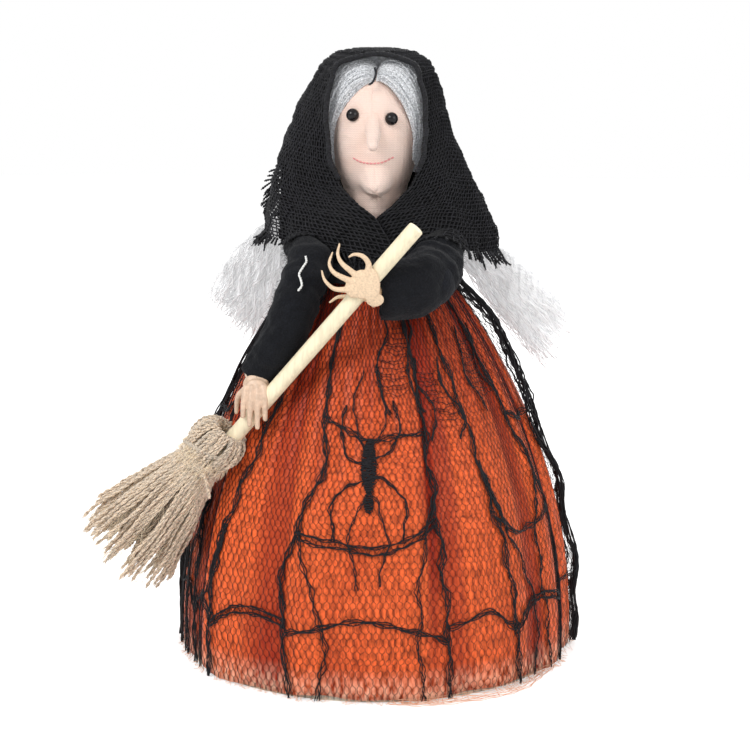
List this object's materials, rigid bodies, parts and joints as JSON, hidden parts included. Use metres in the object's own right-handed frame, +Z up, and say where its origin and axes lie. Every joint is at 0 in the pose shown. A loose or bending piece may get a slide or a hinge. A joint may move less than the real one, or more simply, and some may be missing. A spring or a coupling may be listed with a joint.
{
  "type": "hand puppet",
  "caption": "Standing witch hand puppet: hooded stuffed head on a finger tube, netted skirt over a cone, felt arms and a twine broom held across the front.",
  "frame": {"origin": "centre of the hem hoop's opening, at the floor", "axes": "+Z up along the body, the face looks to -Y, +X towards the puppet's own left hand"},
  "size_m": [0.1864, 0.155, 0.237],
  "materials": {
    "black_net": "knotted net with thick outline threads",
    "orange_satin": "crinkled satin",
    "buckram": "stiffened cotton",
    "cane": "split cane hoop",
    "board": "rolled card",
    "black_thread": "waxed thread",
    "black_felt": "brushed felt",
    "turned_wood": "turned beech, waxed",
    "steel_wire": "drawn wire",
    "fibre_disc": "pressed fibre",
    "pink_knit": "fine cotton knit over wadding",
    "black_bead": "glossy round bead",
    "rose_thread": "stranded cotton",
    "pink_thread": "sewing thread",
    "grey_yarn": "loose brushed yarn",
    "black_scrim": "open coarse gauze with frayed edges",
    "white_mohair": "fine curly mohair",
    "wadding": "polyester wadding",
    "stick_wood": "pale untreated dowel",
    "jute": "two-ply jute twine",
    "hand_felt": "thin beige suede"
  },
  "bodies": {
    "torso": {"lace_overskirt": "black_net", "satin_skirt": "orange_satin", "petticoat_cone": "buckram", "hem_hoop": "cane", "waist_ring": "board", "waist_tie": "black_thread", "bodice": "black_felt", "shoulder_yoke": "turned_wood", "shoulder_pin_right": "steel_wire", "shoulder_pin_left": "steel_wire", "body_disc_right": "fibre_disc", "body_disc_left": "fibre_disc", "scarf_cape": "black_scrim", "scarf_front": "black_scrim", "hair_tress_right": "white_mohair", "hair_tress_left": "white_mohair"},
    "neck": {"neck_ring": "turned_wood"},
    "head": {"neck_tube": "board", "head": "pink_knit", "eye_right": "black_bead", "eye_left": "black_bead", "mouth_thread": "rose_thread", "face_seam": "pink_thread", "hair_front_right": "grey_yarn", "hair_front_left": "grey_yarn", "hair_crown": "grey_yarn", "scarf_hood": "black_scrim"},
    "right_arm": {"arm_disc_right": "fibre_disc", "sleeve_right": "black_felt", "arm_wire_right": "steel_wire", "arm_padding_right": "wadding", "hand_right": "hand_felt"},
    "left_arm": {"arm_disc_left": "fibre_disc", "sleeve_left": "black_felt", "arm_wire_left": "steel_wire", "arm_padding_left": "wadding", "hand_left": "hand_felt"},
    "broom": {"broom_stick": "stick_wood", "brush_core": "jute", "brush_cap": "jute", "brush_binding": "jute", "brush_fan": "jute"}
  },
  "joints": [
    {"name": "head_nod", "type": "hinge", "parent": "torso", "child": "neck", "pos_m": [0, 0, 0.166], "axis": [1, 0, 0], "range_deg": [-12, 15]},
    {"name": "head_turn", "type": "hinge", "parent": "neck", "child": "head", "pos_m": [0, 0, 0.166], "axis": [0, 0, 1], "range_deg": [-35, 35]},
    {"name": "right_arm_raise", "type": "hinge", "parent": "torso", "child": "right_arm", "pos_m": [0, 0, 0.1615], "axis": [-1, 0, 0], "range_deg": [0, 30]},
    {"name": "left_arm_raise", "type": "hinge", "parent": "torso", "child": "left_arm", "pos_m": [0, 0, 0.1615], "axis": [-1, 0, 0], "range_deg": [0, 30]},
    {"name": "broom_slide", "type": "slide", "parent": "right_arm", "child": "broom", "axis": [-0.6508, 0.1073, -0.7516], "range_m": [0, 0.018]}
  ],
  "couplings": [
    {"joint": "left_arm_raise", "follows": "right_arm_raise", "ratio": 1}
  ]
}
